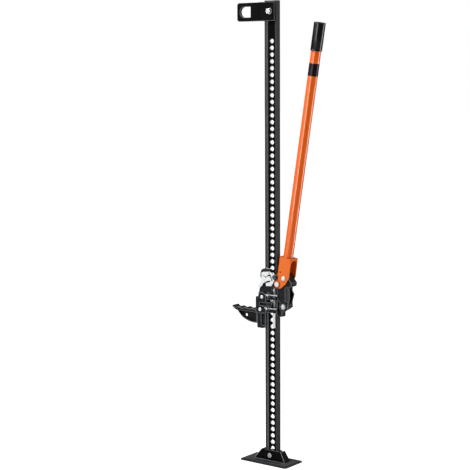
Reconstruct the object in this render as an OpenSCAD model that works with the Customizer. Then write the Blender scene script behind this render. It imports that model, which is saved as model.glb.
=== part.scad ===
// High lift jack: a pierced steel bar on a foot plate, with a lifting carriage
// that climbs it by two spring pins, a long handle and a clamp at the top.
// Millimetres. X runs to the handle's side, -Y to the front, Z up.
// The origin is at the middle of the foot, under the bar.

/* [Bar] */
// Width of the bar across its two flanges
bar_w = 49; // [46:0.5:52]
// Depth of the bar from front to back
bar_d = 18.5; // [17.5:0.25:19.5]
// Length of the bar
bar_len = 1535; // [1500:5:1600]
// Thickness of a flange at its tip
flange_tip_t = 7; // [6:0.25:8]
// Thickness of a flange where it meets the web
flange_root_t = 9; // [8.25:0.25:10]
// Thickness of the web
web_t = 5; // [4:0.25:6]
// Diameter of a climbing hole
hole_d = 15; // [14:0.25:16]
// Distance from one climbing hole to the next
hole_pitch = 22; // [21:0.25:23]
// Least distance from the topmost hole to the bar's top
top_clear = 130; // [120:1:140]
// Height of the lowest hole above the bar's lower end
first_hole_up = 18; // [16:0.5:19]
// Hole that the upper climbing pin stands in, counted from the lowest
pin_hole = 25; // [22:1:30]

/* [Foot] */
// Width of the foot plate
foot_w = 192; // [176:1:204]
// How far the foot plate's middle stands to the left of the bar
foot_shift = 8; // [4:0.5:10]
// Depth of the foot plate
foot_d = 104; // [90:1:120]
// Corner radius of the foot plate
foot_corner = 10; // [8:0.5:14]
// Thickness of the foot plate's rim
foot_rim_t = 4; // [3:0.25:5]
// Height of the raised middle of the foot plate above its rim
foot_raise = 2; // [1:0.25:3]
// Width of the rim round the raised middle
foot_rim_w = 6; // [4:0.5:9]
// Width of the socket at its lower end
shoe_low_w = 128; // [120:1:134]
// How far the socket's lower end stands to the left of the bar
shoe_shift = 4.5; // [2:0.5:6]
// Width of the socket at its upper end
shoe_top_w = 82; // [76:1:88]
// Depth of the socket at its lower end
shoe_low_d = 32; // [31.5:0.5:36]
// Height of the socket
shoe_h = 34; // [32:0.5:38]
// Wall of the socket
shoe_wall = 2.5; // [2:0.25:2.5]
// Width of the flange round the socket's foot
shoe_flange_w = 4; // [3:0.5:5]
// Thickness of the flange round the socket's foot
shoe_flange_t = 2; // [1.5:0.25:3]
// Diameter of the foot bolt
foot_bolt_d = 10; // [9:0.5:11]
// Width of the foot bolt's hexagon across its corners
foot_hex_w = 18; // [17:0.5:20]
// Height of the foot bolt's head and nut
foot_hex_t = 5.5; // [5:0.25:8]

/* [Clamp] */
// Length of the clamp plates from the bar's axis to their rounded end
clamp_reach = 140; // [128:1:146]
// Length of the clamp plates past the bar's axis
clamp_back = 18; // [17:0.5:20]
// Height of the clamp plates
clamp_h = 61; // [56:1:66]
// Thickness of one clamp plate
clamp_t = 5; // [4:0.25:6]
// Distance from the clamp's top edge to the bar's top
clamp_below_top = 4.5; // [2:0.5:8]
// Corner radius of the clamp plates
clamp_corner = 9; // [6:0.5:14]
// Length of the D-shaped opening
clamp_hole_w = 43; // [40:0.5:50]
// Height of the D-shaped opening
clamp_hole_h = 35; // [31:0.5:39]
// Metal left round the end of the D-shaped opening
clamp_end_t = 12; // [9:0.5:13]
// Distance from the bar's flange to where the plates bend inwards
clamp_bend_out = 15; // [12:0.5:18]
// Length over which the plates bend inwards
clamp_bend_len = 17; // [14:0.5:20]
// Diameter of the clamp bolt
clamp_bolt_d = 10; // [9:0.5:11]
// Width of the clamp bolt's hexagon across its corners
clamp_hex_w = 17.5; // [16.5:0.5:19]
// Height of the clamp bolt's nut and head
clamp_hex_t = 9; // [7:0.5:11]
// Outer diameter of a washer
washer_d = 19; // [18:0.5:21]
// Thickness of a washer
washer_t = 2; // [1.5:0.25:2.5]

/* [Large runner] */
// Reach of the runner's body to the left of the bar's axis
runner_reach = 58; // [56:0.5:62]
// Reach of the runner's body below the upper pin
runner_drop = 117; // [112:1:124]
// Half the runner's depth from front to back
runner_half_d = 16.5; // [16:0.25:17]
// Width of the lever arm's lug and of the handle pivot's lug
lug_r = 12.5; // [11.5:0.25:13]
// Distance from the bar's flange to the handle's pivot
pivot_out = 9; // [8.5:0.25:10]
// Height of the handle's pivot above the upper pin
pivot_up = 38.5; // [38:0.25:40]
// Height of the raised face round the nose pins
ring_raise = 2; // [1:0.25:3]
// Radius of the upper nose pin's ring
ring_upper_r = 16; // [14:0.5:17]
// Radius of the lower nose pin's ring
ring_lower_r = 13.5; // [12:0.5:15]
// Depth of the pockets cast into the runner's faces
pocket_depth = 4.5; // [3:0.25:5.5]

/* [Lifting nose] */
// Length of the lifting nose
nose_len = 106; // [98:1:114]
// Height of the lifting nose
nose_h = 52.5; // [49:0.5:56]
// Half the width of the nose's toothed pad
pad_half_w = 16; // [14:0.25:16.5]
// Number of teeth on the pad
tooth_count = 3; // [2:1:5]
// Height of the teeth
tooth_h = 3.75; // [3:0.25:5]
// Thickness of the nose's web
nose_web_t = 5; // [4:0.25:8]
// Thickness of the rim under the nose's web
nose_rim_t = 2.5; // [2:0.25:3]
// Half the thickness of the nose's tongue
tongue_half_t = 8; // [7:0.25:9]
// Diameter of a nose pin
nose_pin_d = 12; // [10:0.5:13]
// Diameter of the hole through the nose
nose_hole_d = 10; // [8:0.5:11]

/* [Climbing pins] */
// Diameter of a climbing pin
pin_d = 13; // [12:0.25:13.5]
// Diameter of a climbing pin's tail
tail_d = 7; // [6:0.25:8]
// Travel of a climbing pin
pin_travel = 6; // [5:0.25:6.5]
// Distance that an engaged pin reaches past the web
pin_past = 0.5; // [0.25:0.25:1.5]
// Diameter of a cross pin
cross_d = 4.8; // [4:0.2:5]
// Length of a cross pin to the left of the bar's axis
cross_left = 10; // [9.5:0.5:12]
// Length of a cross pin to the right of the bar's axis
cross_right = 39; // [35:0.5:41]
// Distance from the bar's mid-plane to an engaged pin's shoulder
shoulder_y = 8; // [7.5:0.25:8.5]
// Length of a pin's spring while the pin is engaged
spring_len = 13.8; // [13.6:0.2:15]
// Diameter of the spring's wire
wire_d = 1.2; // [1:0.1:1.2]
// Mean diameter of the spring
coil_d = 10.4; // [9.6:0.2:11]
// Turns of the spring
coil_turns = 3; // [2:1:3]
// Thickness of the cap that the spring rests on
spring_cap_t = 3; // [2.5:0.25:4]

/* [Small runner] */
// Holes that the small runner travels in one stroke
stroke_holes = 2; // [2:1:2]
// Height of the small runner's front wall
small_h = 34; // [33:0.5:36]
// Depth of the small runner's front wall
small_wall_d = 19; // [18.75:0.25:19.5]
// Distance from the bar's flange to the lower link pivot
link_out = 30.5; // [29.5:0.25:31.5]
// Height of the lower link pivot above the lower pin
link_up = 7.5; // [6.5:0.25:8.5]

/* [Handle] */
// Lean of the handle at its upright stop, in degrees
lean = 9.2; // [8:0.1:10]
// Distance from the handle's pivot sideways to the tube's axis
axis_out = 15; // [14:0.25:16]
// Distance from the handle's pivot sideways to the link's upper pivot
link_side = 21.5; // [21:0.25:22.5]
// Distance from the handle's pivot up to the link's upper pivot
link_rise = 24.5; // [23.5:0.25:25.5]
// Swing of the handle, in degrees
swing = 85; // [80:1:86]
// Outer diameter of the handle's tube
tube_d = 33; // [31.5:0.25:33.5]
// Wall of the handle's tube
tube_wall = 2.6; // [2:0.1:3.2]
// Depth that the tube stands in the socket's roof
tube_seat = 3; // [2:0.5:4]
// Distance from the handle's pivot to the top of the grip
handle_len = 867; // [820:2:900]
// Length of the grip
grip_len = 91; // [80:1:100]
// Thickness of the grip
grip_t = 2.6; // [1.6:0.1:3]
// Distance between the grip and the band
band_gap = 40; // [30:1:46]
// Length of the band
band_len = 40; // [30:1:46]
// Thickness of the band
band_t = 0.4; // [0.3:0.1:0.6]
// Thickness of the handle socket's sheet
socket_t = 4; // [3.5:0.25:4.5]
// Length of the handle socket above the pivot
socket_len = 94; // [90:1:98]
// Reach of the socket to the left of the pivot
socket_left = 8; // [7:0.25:9]
// Width of the socket
socket_w = 47.5; // [46:0.25:49]
// Outer radius of the socket's two bends
socket_bend_r = 8; // [7:0.25:9]
// Thickness of the socket's arched roof at its crown
roof_t = 6; // [5:0.5:8]
// Radius of the socket's rounded foot round the pivot
socket_foot_r = 13.5; // [12.5:0.25:14]
// Diameter of the handle's pivot bolt
pivot_d = 12; // [11:0.25:12.5]
// Diameter of the pivot bolt's round head
pivot_head_d = 17; // [16:0.5:18]

/* [Link] */
// Thickness of one cheek of the link
link_cheek = 5; // [4:0.25:5.5]
// Radius of the link's upper eye
link_eye_r = 12; // [11:0.25:12.5]
// Radius of the link's lower eye
link_ring_r = 16.5; // [15.5:0.25:17]
// Diameter of the link's two pins
link_pin_d = 11; // [10:0.25:11.5]
// Height of the ribs and of the ring cast on a cheek
link_raise = 1.5; // [1:0.25:2]

/* [Reversing lever] */
// Width of the reversing lever
lever_w = 74; // [70:0.5:75]
// Height of the reversing lever
lever_h = 69.5; // [66:0.5:70]
// Thickness of the lever's sheet
lever_t = 3; // [2.5:0.25:3]
// Distance of the lever's pivot from the bar's axis
lever_pivot_x = 25; // [24:0.25:25.5]
// Height of the lever's pivot above the upper pin
lever_pivot_up = 61; // [60.5:0.25:62]
// Diameter of the lever's pivot screw
lever_screw_d = 8; // [7:0.25:9]
// Height of the screw's hexagon
lever_hex_t = 7; // [6:0.25:8]

/* [Trip rail] */
// Distance from the bar's axis to the rail's near edge
rail_x = 9; // [8.75:0.25:9.5]
// Width of the rail
rail_w = 10; // [9:0.25:10.5]
// Thickness of the rail
rail_t = 3; // [2.5:0.25:3.25]
// Height of the rail's top above the upper pin
rail_up = 23; // [22:0.5:23.5]
// Length of the rail below the upper pin
rail_drop = 112; // [106:1:114]

/* [Hidden] */
$fn = 48;

// Clearances and the overrun of every cut
slide_gap = 0.4;
pin_gap = 0.05;
side_gap = 0.5;
bolt_gap = 0.25;
web_gap = 0.3;
seat_gap = 0.2;
over = 1;

// Heights that the pieces share
foot_t = foot_rim_t + foot_raise;
bar_top = foot_t + bar_len;
first_hole_z = foot_t + first_hole_up;
pin_z = first_hole_z + pin_hole * hole_pitch;
stroke = stroke_holes * hole_pitch;
hole_count = floor((bar_len - first_hole_up - top_clear) / hole_pitch) + 1;
low_pin_z = pin_z - stroke;
clamp_z = bar_top - clamp_below_top - clamp_h / 2;

// The bar's channel and flanges
half_w = bar_w / 2;
half_d = bar_d / 2;
channel_half_w = half_w - flange_root_t;
pocket_half_w = half_w + slide_gap;
pocket_half_d = half_d + slide_gap;

// The handle's pivot, and the link's two pivots at rest
pivot_x = half_w + pivot_out;
pivot_z = pin_z + pivot_up;
upper_x = pivot_x + link_side * cos(lean) + link_rise * sin(lean);
upper_z = pivot_z - link_side * sin(lean) + link_rise * cos(lean);
lower_x = half_w + link_out;
lower_z = low_pin_z + link_up;

// How far the link's lower pin wanders from the small runner while the handle swings
crank_r = norm([link_side, link_rise]);
crank_angle = atan2(link_rise, link_side) - lean;
wander_out = crank_r * (1 - cos(crank_angle));
wander_in = crank_r * (cos(crank_angle) - cos(swing - crank_angle));
wander_up = 1.5;

// The handle socket's walls, and the climbing pins from the web outwards
socket_half_d = runner_half_d + side_gap;
socket_outer_d = socket_half_d + socket_t;
spring_seat_y = shoulder_y + spring_len;
boss_end_y = spring_seat_y + spring_cap_t;
cross_y = boss_end_y + seat_gap + cross_d / 2;
tail_past = 2;
tail_end = cross_y + cross_d / 2 + tail_past;
tail_gap = 0.25;
thread_past = 1;

// Colours
black_paint = "#26272a";
cast_black = "#303134";
zinc = "#c9cbce";
orange_paint = "#e0601c";
rubber = "#1b1b1d";
band_dark = "#2c1a1f";

// A solid standing on an outline drawn in X and Z, from y0 back to y1
module slab(y0, y1) {
    translate([0, y1, 0]) rotate([90, 0, 0]) linear_extrude(y1 - y0) children();
}

// A rod along Y from y0 to y1, through x and z
module rod_y(x, z, r, y0, y1) {
    translate([x, y0, z]) rotate([-90, 0, 0]) cylinder(r = r, h = y1 - y0);
}

// A hexagon along Y from y0 to y1, turned by an angle
module hex_y(x, z, w, y0, y1, turn = 0) {
    translate([x, y0, z]) rotate([-90, 0, 0]) rotate([0, 0, turn]) cylinder(d = w, h = y1 - y0, $fn = 6);
}

// A box given by its two corners
module block(low, high) {
    translate(low) cube(high - low);
}

// A plate with rounded corners, standing on z = 0
module rounded_plate(w, d, r, h) {
    translate([-w / 2 + r, -d / 2, 0]) cube([w - 2 * r, d, h]);
    translate([-w / 2, -d / 2 + r, 0]) cube([w, d - 2 * r, h]);
    for (sx = [-1, 1], sy = [-1, 1])
        translate([sx * (w / 2 - r), sy * (d / 2 - r), 0]) cylinder(r = r, h = h);
}

// Shares of a width and a height, made into points from a corner
function spread(shares, w, h, x0 = 0, z0 = 0) = [for (s = shares) [x0 + s[0] * w, z0 + s[1] * h]];

// Bar
module channel(side) {
    depth = half_d - web_t / 2;
    tip_half_w = half_w - flange_tip_t;
    slope = (tip_half_w - channel_half_w) / depth;
    polygon([
        [-channel_half_w, side * web_t / 2], [channel_half_w, side * web_t / 2],
        [tip_half_w + slope * over, side * (half_d + over)],
        [-tip_half_w - slope * over, side * (half_d + over)]
    ]);
}

module standard_bar() {
    color(black_paint) difference() {
        translate([0, 0, foot_t]) linear_extrude(bar_len) difference() {
            square([bar_w, bar_d], center = true);
            channel(-1);
            channel(1);
        }
        for (i = [0 : hole_count - 1])
            rod_y(0, first_hole_z + i * hole_pitch, hole_d / 2, -half_d, half_d);
        rod_y(0, clamp_z, clamp_bolt_d / 2 + bolt_gap, -half_d, half_d);
    }
}

// Foot
module foot_plate() {
    color(black_paint) union() {
        translate([-foot_shift, 0, 0]) rounded_plate(foot_w, foot_d, foot_corner, foot_rim_t);
        translate([-foot_shift, 0, 0])
            rounded_plate(
                foot_w - 2 * foot_rim_w, foot_d - 2 * foot_rim_w, foot_corner - foot_rim_w / 2, foot_t
            );
    }
}

shoe_top_d = bar_d + 2 * bolt_gap + 2 * shoe_wall;
boss_face = shoe_low_d / 2 + bolt_gap;
boss_share = 0.55;
boss_r = boss_share * foot_hex_w;
ear_notch_w = 5;
ear_notch_h = 9;
drain_r = 3;
drain_shares = [[-0.235, 0.24], [0.19, 0.29]];

module hopper(low_w, top_w, low_d, top_d, z0, z1) {
    intersection() {
        slab(-shoe_low_d, shoe_low_d)
            polygon([
                [-low_w / 2 - shoe_shift, z0], [low_w / 2 - shoe_shift, z0], [top_w / 2, z1], [-top_w / 2, z1]
            ]);
        rotate([0, 0, 90]) slab(-shoe_low_w, shoe_low_w)
            polygon([[-low_d / 2, z0], [low_d / 2, z0], [top_d / 2, z1], [-top_d / 2, z1]]);
    }
}

module foot_socket() {
    top_z = foot_t + shoe_h;
    slope_w = (shoe_low_w - shoe_top_w) / shoe_h;
    slope_d = (shoe_low_d - shoe_top_d) / shoe_h;
    color(black_paint) difference() {
        union() {
            hopper(shoe_low_w, shoe_top_w, shoe_low_d, shoe_top_d, foot_t, top_z);
            translate([-shoe_low_w / 2 - shoe_flange_w - shoe_shift, -shoe_low_d / 2 - shoe_flange_w, foot_t])
                cube([shoe_low_w + 2 * shoe_flange_w, shoe_low_d + 2 * shoe_flange_w, shoe_flange_t]);
            rod_y(0, first_hole_z, boss_r, -boss_face, boss_face);
        }
        hopper(
            shoe_low_w - 2 * shoe_wall + slope_w * over, shoe_top_w - 2 * shoe_wall - slope_w * over,
            shoe_low_d - 2 * shoe_wall + slope_d * over, shoe_top_d - 2 * shoe_wall - slope_d * over,
            foot_t - over, top_z + over
        );
        block(
            [-half_w - bolt_gap, -half_d - bolt_gap, foot_t - over],
            [half_w + bolt_gap, half_d + bolt_gap, top_z + over]
        );
        for (side = [-1, 1])
            translate([side * (shoe_top_w / 2 - shoe_wall - ear_notch_w), 0, top_z])
                cube([ear_notch_w, shoe_low_d, 2 * ear_notch_h], center = true);
        rod_y(0, first_hole_z, foot_bolt_d / 2 + bolt_gap, -shoe_low_d, shoe_low_d);
        for (drain = drain_shares)
            rod_y(drain[0] * shoe_low_w, foot_t + drain[1] * shoe_h, drain_r, -shoe_low_d, shoe_low_d);
    }
}

foot_hex_turn = 20;

module foot_bolt() {
    color(zinc) union() {
        rod_y(0, first_hole_z, foot_bolt_d / 2,
            -boss_face - foot_hex_t / 2, boss_face + foot_hex_t + thread_past);
        hex_y(0, first_hole_z, foot_hex_w, -boss_face - foot_hex_t, -boss_face, foot_hex_turn);
    }
}

module hex_nut(x, z, w, bore_r, y0, y1, turn = 0) {
    difference() {
        hex_y(x, z, w, y0, y1, turn);
        rod_y(x, z, bore_r, y0 - over, y1 + over);
    }
}

module foot_nut() {
    color(zinc) hex_nut(
        0, first_hole_z, foot_hex_w, foot_bolt_d / 2 + pin_gap, boss_face, boss_face + foot_hex_t
    );
}

// Clamp
module clamp_plate() {
    bend_x = -half_w - clamp_bend_out;
    flat_x = bend_x - clamp_bend_len;
    hole_r = clamp_hole_h / 2;
    hole_x = -clamp_reach + clamp_end_t + hole_r;
    difference() {
        intersection() {
            translate([0, 0, clamp_z - clamp_h / 2]) linear_extrude(clamp_h) polygon([
                [-clamp_reach, 0], [flat_x, 0], [bend_x, -half_d], [clamp_back, -half_d],
                [clamp_back, -half_d - clamp_t], [bend_x, -half_d - clamp_t],
                [flat_x, -clamp_t], [-clamp_reach, -clamp_t]
            ]);
            translate([0, 0, clamp_z]) slab(-bar_d, bar_d) {
                translate([-clamp_reach + clamp_corner, -clamp_h / 2])
                    square([clamp_reach + clamp_back, clamp_h]);
                translate([-clamp_reach, -clamp_h / 2 + clamp_corner])
                    square([clamp_reach, clamp_h - 2 * clamp_corner]);
                for (side = [-1, 1])
                    translate([-clamp_reach + clamp_corner, side * (clamp_h / 2 - clamp_corner)])
                        circle(clamp_corner);
            }
        }
        rod_y(hole_x, clamp_z, hole_r, -bar_d, bar_d);
        block(
            [hole_x, -bar_d, clamp_z - hole_r],
            [hole_x + clamp_hole_w - hole_r, bar_d, clamp_z + hole_r]
        );
        rod_y(0, clamp_z, clamp_bolt_d / 2 + bolt_gap, -bar_d, bar_d);
    }
}

clamp_face = half_d + clamp_t;
washer_face = clamp_face + washer_t;

module clamp_plate_front() {
    color(black_paint) clamp_plate();
}

module clamp_plate_rear() {
    color(black_paint) mirror([0, 1, 0]) clamp_plate();
}

module clamp_bolt() {
    color(zinc) union() {
        rod_y(0, clamp_z, clamp_bolt_d / 2,
            -washer_face - clamp_hex_t - washer_t, washer_face + clamp_hex_t / 2);
        hex_y(0, clamp_z, clamp_hex_w, washer_face, washer_face + clamp_hex_t);
    }
}

module clamp_nut() {
    color(zinc) hex_nut(
        0, clamp_z, clamp_hex_w, clamp_bolt_d / 2 + pin_gap, -washer_face - clamp_hex_t, -washer_face
    );
}

module clamp_washers() {
    color(zinc) for (y = [-washer_face, clamp_face]) difference() {
        rod_y(0, clamp_z, washer_d / 2, y, y + washer_t);
        rod_y(0, clamp_z, clamp_bolt_d / 2 + bolt_gap, y - over, y + washer_t + over);
    }
}

// Large runner
upper_ring_shares = [-0.55, -0.088];
lower_ring_shares = [-0.688, -0.457];
ring_upper = [upper_ring_shares[0] * runner_reach, pin_z + upper_ring_shares[1] * runner_drop];
ring_lower = [lower_ring_shares[0] * runner_reach, pin_z + lower_ring_shares[1] * runner_drop];
leg_x = -0.919 * runner_reach;
cheek_edge = rail_x - slide_gap;
guide_half_h = 12;
rail_groove_y = half_d + rail_t + 2 * slide_gap;
lever_lug_r = 9.5;
cheek_drop_share = 0.137;
lever_x = lever_pivot_x;
lever_z = pin_z + lever_pivot_up;
arch_shares = [
    [-1, -0.547], [-1, -0.094], [-0.79, -0.094], [-0.775, 0.05], [-0.75, 0.137], [-0.655, 0.214],
    [-0.483, 0.29], [-0.241, 0.35], [0, 0.385], [0.12, 0.44]
];
face_shares = [
    [-1, -0.547], [-0.27, -0.547], [-0.27, -0.15], [-0.3, -0.08], [-0.36, -0.06],
    [-0.55, -0.088], [-1, -0.094]
];
side_shares = [
    [-0.2, -0.145], [-0.278, -0.25], [-0.278, -0.34], [-0.302, -0.547], [-0.302, -0.94],
    [-0.5, -1], [-0.919, -1], [-0.919, -0.547]
];

module runner_outline() {
    polygon(concat(
        spread(arch_shares, runner_reach, runner_drop, 0, pin_z),
        [[pivot_x, pivot_z + lug_r], [pivot_x, pivot_z - lug_r], [cheek_edge, pivot_z - lug_r - slide_gap],
            [cheek_edge, pin_z - cheek_drop_share * runner_drop]],
        spread(side_shares, runner_reach, runner_drop, 0, pin_z)
    ));
    translate([pivot_x, pivot_z]) circle(lug_r);
}

// The bar of the casting that crosses over the rail
bridge_low = 17;
bridge_high = 6;
bridge_w = 31;

module rail_bridge() {
    block(
        [-cheek_edge, -runner_half_d - ring_raise, pin_z - bridge_low],
        [bridge_w - cheek_edge, -rail_groove_y, pin_z - bridge_high]
    );
}

// The boss round a climbing pin and its spring, with the pin's guide in the bar's channel
module pin_housing(z) {
    rod_y(0, z, cheek_edge, -boss_end_y, -runner_half_d + over);
    block(
        [-channel_half_w + slide_gap, -pocket_half_d - over, z - guide_half_h],
        [channel_half_w - slide_gap, -web_t / 2 - web_gap, z + guide_half_h]
    );
}

module pin_bores(z) {
    rod_y(0, z, pin_d / 2 + pin_gap, -spring_seat_y, 0);
    rod_y(0, z, tail_d / 2 + tail_gap, -tail_end, -spring_seat_y + over);
}

module rail_groove(z0, z1) {
    block(
        [cheek_edge, -rail_groove_y, z0],
        [rail_x + rail_w + slide_gap, -half_d, z1]
    );
}

module bar_pocket(z0, z1) {
    block([-pocket_half_w, -pocket_half_d, z0], [pocket_half_w, pocket_half_d, z1]);
}

slot_shares = [[-0.72, -0.34], [-0.24, -0.255]];
groove_shares = [[-0.19, -0.25], [-0.155, 0]];
leg_pocket_shares = [[-0.62, -0.91], [-0.36, -0.58]];
tongue_top_share = 0.03;
tongue_low_share = -0.86;
tongue_web = 3;
tongue_right = -pocket_half_w - tongue_web;

module face_pocket(shares) {
    low = [shares[0][0] * runner_reach, pin_z + shares[0][1] * runner_drop];
    high = [shares[1][0] * runner_reach, pin_z + shares[1][1] * runner_drop];
    for (side = [-1, 1])
        block(
            [low[0], side * runner_half_d - pocket_depth, low[1]],
            [high[0], side * runner_half_d + pocket_depth, high[1]]
        );
}

module tongue_space(gap) {
    block(
        [-2 * runner_reach, -tongue_half_t - gap, pin_z + tongue_low_share * runner_drop - gap],
        [tongue_right + gap, tongue_half_t + gap, pin_z + tongue_top_share * runner_drop + gap]
    );
}

module large_runner() {
    color(cast_black) difference() {
        union() {
            difference() {
                union() {
                    slab(-runner_half_d, runner_half_d) runner_outline();
                    slab(-runner_half_d - ring_raise, runner_half_d + ring_raise)
                        polygon(spread(face_shares, runner_reach, runner_drop, 0, pin_z));
                    rod_y(lever_x, lever_z, lever_lug_r, -runner_half_d, -pocket_half_d);
                    slab(-runner_half_d, -pocket_half_d) polygon([
                        [lever_x - lever_lug_r, lever_z], [lever_x - lever_lug_r, pivot_z],
                        [pivot_x, pivot_z], [lever_x + lever_lug_r, lever_z]
                    ]);
                }
                bar_pocket(pin_z - 2 * runner_drop, pin_z + runner_drop);
                face_pocket(slot_shares);
                face_pocket(leg_pocket_shares);
                face_pocket(groove_shares);
            }
            rod_y(ring_upper[0], ring_upper[1], ring_upper_r,
                -runner_half_d - ring_raise, runner_half_d + ring_raise);
            rod_y(ring_lower[0], ring_lower[1], ring_lower_r,
                -runner_half_d - ring_raise, runner_half_d + ring_raise);
            pin_housing(pin_z);
            rail_bridge();
        }
        block(
            [-pocket_half_w, -half_d - slide_gap, pin_z - 2 * runner_drop],
            [-channel_half_w + slide_gap, half_d + slide_gap, pin_z + runner_drop]
        );
        tongue_space(seat_gap);
        for (p = [ring_upper, ring_lower])
            rod_y(p[0], p[1], nose_pin_d / 2 + pin_gap, -bar_w, bar_w);
        pin_bores(pin_z);
        rod_y(pivot_x, pivot_z, pivot_d / 2 + pin_gap, -bar_w, bar_w);
        rod_y(lever_x, lever_z, lever_screw_d / 2 + pin_gap, -bar_w, 0);
        rail_groove(pivot_z - lug_r - runner_drop, pin_z + rail_up + slide_gap);
    }
}

// Lifting nose
nose_root_x = leg_x - seat_gap;
nose_low_z = pin_z - 0.875 * runner_drop;
nose_shares = [
    [0, 0], [-0.156, 0.008], [-0.25, 0.032], [-0.344, 0.071], [-0.439, 0.134], [-0.533, 0.221],
    [-0.618, 0.336], [-0.693, 0.475], [-0.75, 0.609], [-0.788, 0.695], [-0.816, 0.75], [-0.892, 0.75],
    [-1, 0.933], [-0.976, 1], [-0.91, 0.905], [-0.868, 0.857], [-0.047, 0.857], [-0.047, 0.715], [0, 0.715]
];
web_top_share = 0.7;
web_left_share = -0.77;
pad_from_share = -0.08;
pad_to_share = -0.868;
pad_top_share = 0.857;
nose_hole_shares = [-0.52, 0.399];
steps_per_tooth = 8;

module nose_outline() {
    polygon(spread(nose_shares, nose_len, nose_h, nose_root_x, nose_low_z));
}

module tooth_row() {
    from_x = nose_root_x + pad_from_share * nose_len;
    to_x = nose_root_x + pad_to_share * nose_len;
    low = nose_low_z + web_top_share * nose_h;
    top = nose_low_z + pad_top_share * nose_h;
    steps = tooth_count * steps_per_tooth;
    polygon(concat(
        [[to_x, low], [from_x, low]],
        [for (i = [0 : steps])
            [from_x + (to_x - from_x) * i / steps, top + tooth_h * (1 - cos(360 * i / steps_per_tooth)) / 2]]
    ));
}

// The hollow beside the nose's web, under its top plate. The front one has a rim, the rear one is open.
module nose_hollow(y0, y1, rim) {
    slab(y0, y1) intersection() {
        offset(delta = -rim) nose_outline();
        translate([nose_root_x + web_left_share * nose_len, nose_low_z - over])
            square([-web_left_share * nose_len - nose_rim_t, web_top_share * nose_h + over]);
    }
}

module lifting_nose() {
    color(cast_black) difference() {
        union() {
            slab(-runner_half_d, runner_half_d) nose_outline();
            slab(-pad_half_w, pad_half_w) tooth_row();
            block(
                [nose_root_x - over, -tongue_half_t, pin_z + tongue_low_share * runner_drop],
                [tongue_right, tongue_half_t, pin_z + tongue_top_share * runner_drop]
            );
        }
        nose_hollow(-runner_half_d - over, -nose_web_t / 2, nose_rim_t);
        nose_hollow(nose_web_t / 2, runner_half_d + over, -over);
        for (p = [ring_upper, ring_lower])
            rod_y(p[0], p[1], nose_pin_d / 2 + pin_gap, -bar_w, bar_w);
        rod_y(
            nose_root_x + nose_hole_shares[0] * nose_len, nose_low_z + nose_hole_shares[1] * nose_h,
            nose_hole_d / 2, -nose_web_t, nose_web_t
        );
    }
}

nose_pin_past = 1.5;
nose_pin_end = runner_half_d + ring_raise + nose_pin_past;

module nose_pins() {
    color(zinc) for (p = [ring_upper, ring_lower])
        rod_y(p[0], p[1], nose_pin_d / 2, -nose_pin_end, nose_pin_end);
}

// Trip rail
rivet_r = 2;
rivet_head_r = 3.4;
rivet_head_t = 1.2;
rail_face = half_d + slide_gap;
rivet_z = pin_z + rail_up - 3.5 * rivet_r;

module trip_rail() {
    color(zinc) difference() {
        block(
            [rail_x, -rail_face - rail_t, pin_z - rail_drop],
            [rail_x + rail_w, -rail_face, pin_z + rail_up]
        );
        rod_y(rail_x + rail_w / 2, rivet_z, rivet_r + pin_gap, -bar_d, 0);
    }
}

module rail_rivets() {
    x = rail_x + rail_w / 2;
    color(zinc) union() {
        rod_y(x, rivet_z, rivet_r, -runner_half_d, -rail_face);
        rod_y(x, rivet_z, rivet_head_r, -rail_face - rail_t - rivet_head_t, -rail_face - rail_t);
    }
}

// Handle pivot
head_t = 4.5;

module handle_pivot_bolt() {
    face = socket_outer_d + seat_gap;
    color(zinc) union() {
        rod_y(pivot_x, pivot_z, pivot_d / 2, -face - head_t / 2, face + head_t + thread_past);
        rod_y(pivot_x, pivot_z, pivot_head_d / 2, -face - head_t, -face);
    }
}

module handle_pivot_nut() {
    face = socket_outer_d + seat_gap;
    color(zinc) hex_nut(pivot_x, pivot_z, pivot_head_d, pivot_d / 2 + pin_gap, face, face + head_t);
}

// Springs
rings_per_turn = 8;
wire_sides = 6;

function coil_route(length) = concat(
    [[coil_d / 2, 0, 0]],
    [for (i = [0 : coil_turns * rings_per_turn])
        let (a = 360 * i / rings_per_turn)
        [
            cos(a) * coil_d / 2, sin(a) * coil_d / 2,
            wire_d + (length - 2 * wire_d) * i / (coil_turns * rings_per_turn)
        ]],
    [[coil_d / 2, 0, length]]
);

function unit(v) = v / norm(v);
function heading(route, i) = unit(route[min(i + 1, len(route) - 1)] - route[max(i - 1, 0)]);
function outward(p) = unit([p[0], p[1], 0]);

function wire_points(route) = [
    for (i = [0 : len(route) - 1])
        let (a = outward(route[i]), b = cross(heading(route, i), a))
        for (k = [0 : wire_sides - 1])
            route[i] + (wire_d / 2) * (a * cos(360 * k / wire_sides) + b * sin(360 * k / wire_sides))
];

function wire_faces(rings) = concat(
    [for (k = [1 : wire_sides - 2]) [0, k, k + 1]],
    [for (i = [0 : rings - 2], k = [0 : wire_sides - 1])
        let (a = i * wire_sides + k, b = i * wire_sides + (k + 1) % wire_sides)
        each [[a, a + wire_sides, b + wire_sides], [a, b + wire_sides, b]]],
    [for (k = [1 : wire_sides - 2])
        let (last = (rings - 1) * wire_sides) [last, last + k + 1, last + k]]
);

module spring(length) {
    route = coil_route(length);
    apart = [for (i = [0 : len(route) - 1], j = [i + 1 : len(route) - 1])
        if (j - i > rings_per_turn / 2) norm(route[i] - route[j])];
    echo(str("least gap of the spring to itself: ", min(apart) - wire_d));
    polyhedron(wire_points(route), wire_faces(len(route)));
}

module pin_spring(z, out) {
    translate([0, -shoulder_y - out, z]) rotate([90, 0, 0]) spring(spring_len - out);
}

module pin_spring_upper() {
    color(zinc) pin_spring(pin_z, 0);
}

module pin_spring_lower() {
    color(zinc) pin_spring(low_pin_z, pin_travel);
}

// Climbing pins, drawn engaged and moved out by a distance
tip_y = web_t / 2 + pin_past;
tip_bevel = 1.5;

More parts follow.
